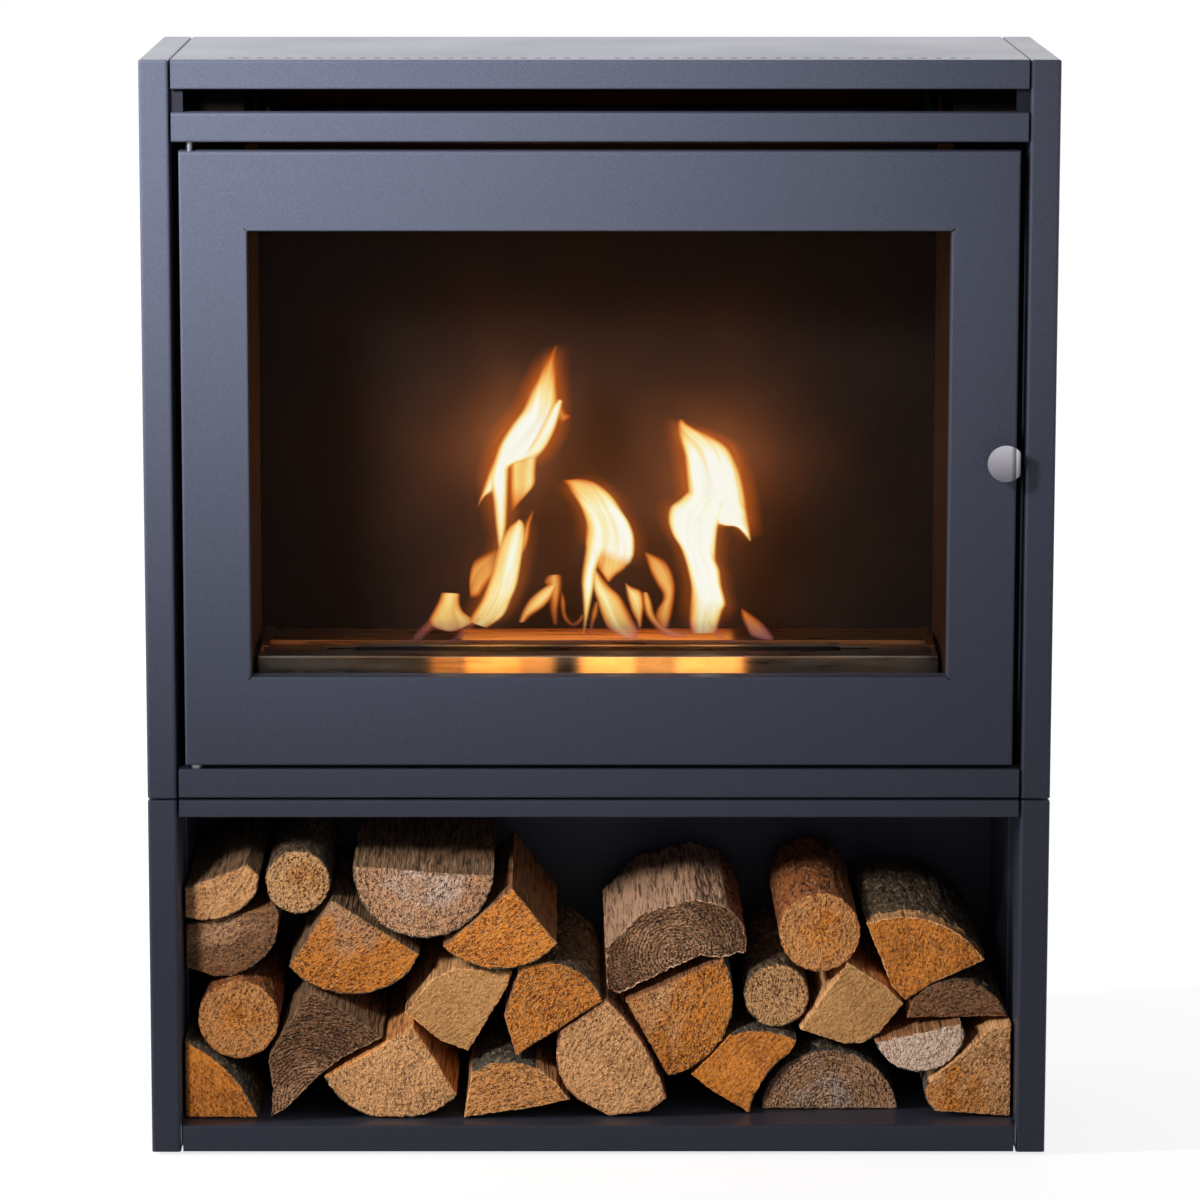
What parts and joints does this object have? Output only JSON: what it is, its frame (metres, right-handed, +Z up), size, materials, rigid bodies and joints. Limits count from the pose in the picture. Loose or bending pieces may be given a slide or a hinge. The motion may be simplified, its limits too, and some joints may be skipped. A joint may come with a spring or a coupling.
{
  "type": "bioethanol fireplace",
  "caption": "Free-standing bioethanol fireplace: steel cabinet with a glazed side-hung door over a box burner with a sliding cover, on an open store of split logs.",
  "frame": {"origin": "bottom centre of the overall box, on the floor under the glides", "axes": "+Z up, +Y towards the back, +X to the right seen from the front"},
  "size_m": [0.8, 0.324, 0.98],
  "materials": {
    "case_paint": "satin anthracite powder coat",
    "firebox_paint": "matt heat-resistant black",
    "stainless": "brushed stainless",
    "zinc": "zinc-plated",
    "glass": "clear heat-resistant glass",
    "gasket": "black glass-fibre tape",
    "fibre": "ceramic wool",
    "magnet_plastic": "black",
    "magnet": "ferrite",
    "glide": "black",
    "firewood": "split, air-dried"
  },
  "bodies": {
    "cabinet": {"cabinet_left_side": "case_paint", "cabinet_right_side": "case_paint", "cabinet_top": "case_paint", "upper_front_rail": "case_paint", "cabinet_floor": "case_paint", "cabinet_back": "case_paint", "slot_jamb_left": "case_paint", "slot_jamb_right": "case_paint", "base_left_side": "case_paint", "base_right_side": "case_paint", "base_left_liner": "case_paint", "base_right_liner": "case_paint", "base_top": "case_paint", "base_floor": "case_paint", "base_back": "case_paint", "mounting_angle_left": "firebox_paint", "mounting_angle_right": "firebox_paint", "firebox_left_wall": "firebox_paint", "firebox_right_wall": "firebox_paint", "firebox_back_wall": "firebox_paint", "firebox_floor": "firebox_paint", "firebox_roof": "firebox_paint", "gusset_left": "firebox_paint", "gusset_right": "firebox_paint", "heat_shield": "firebox_paint", "firebox_screws": "firebox_paint", "burner_casing": "stainless", "burner_tank": "stainless", "shutter_guides": "stainless", "lower_hinge_bracket": "zinc", "upper_hinge_bracket": "zinc", "lower_hinge_pin": "zinc", "upper_hinge_pin": "zinc", "lower_hinge_nut": "zinc", "joining_bolts": "zinc", "joining_nuts": "zinc", "burner_fibre": "fibre", "magnet_housing": "magnet_plastic", "catch_magnet": "magnet", "feet": "glide", "joining_spacers": "glide", "firewood_bottom_row": "firewood", "firewood_middle_row": "firewood", "firewood_top_row": "firewood"},
    "door": {"door_frame": "case_paint", "door_glass": "glass", "glass_gasket": "gasket", "glass_clips": "zinc", "clip_screws": "zinc", "hinge_bushes": "zinc", "strike_plate": "zinc", "handle_disc": "stainless", "handle_stem": "stainless", "handle_screw": "zinc"},
    "shutter": {"burner_shutter": "stainless"}
  },
  "joints": [
    {"name": "door_hinge", "type": "hinge", "parent": "cabinet", "child": "door", "pos_m": [-0.357, -0.128, 0.63], "axis": [0, 0, 1], "range_deg": [-110, 0]},
    {"name": "shutter_slide", "type": "slide", "parent": "cabinet", "child": "shutter", "axis": [0, -1, 0], "range_m": [0, 0.034]}
  ]
}
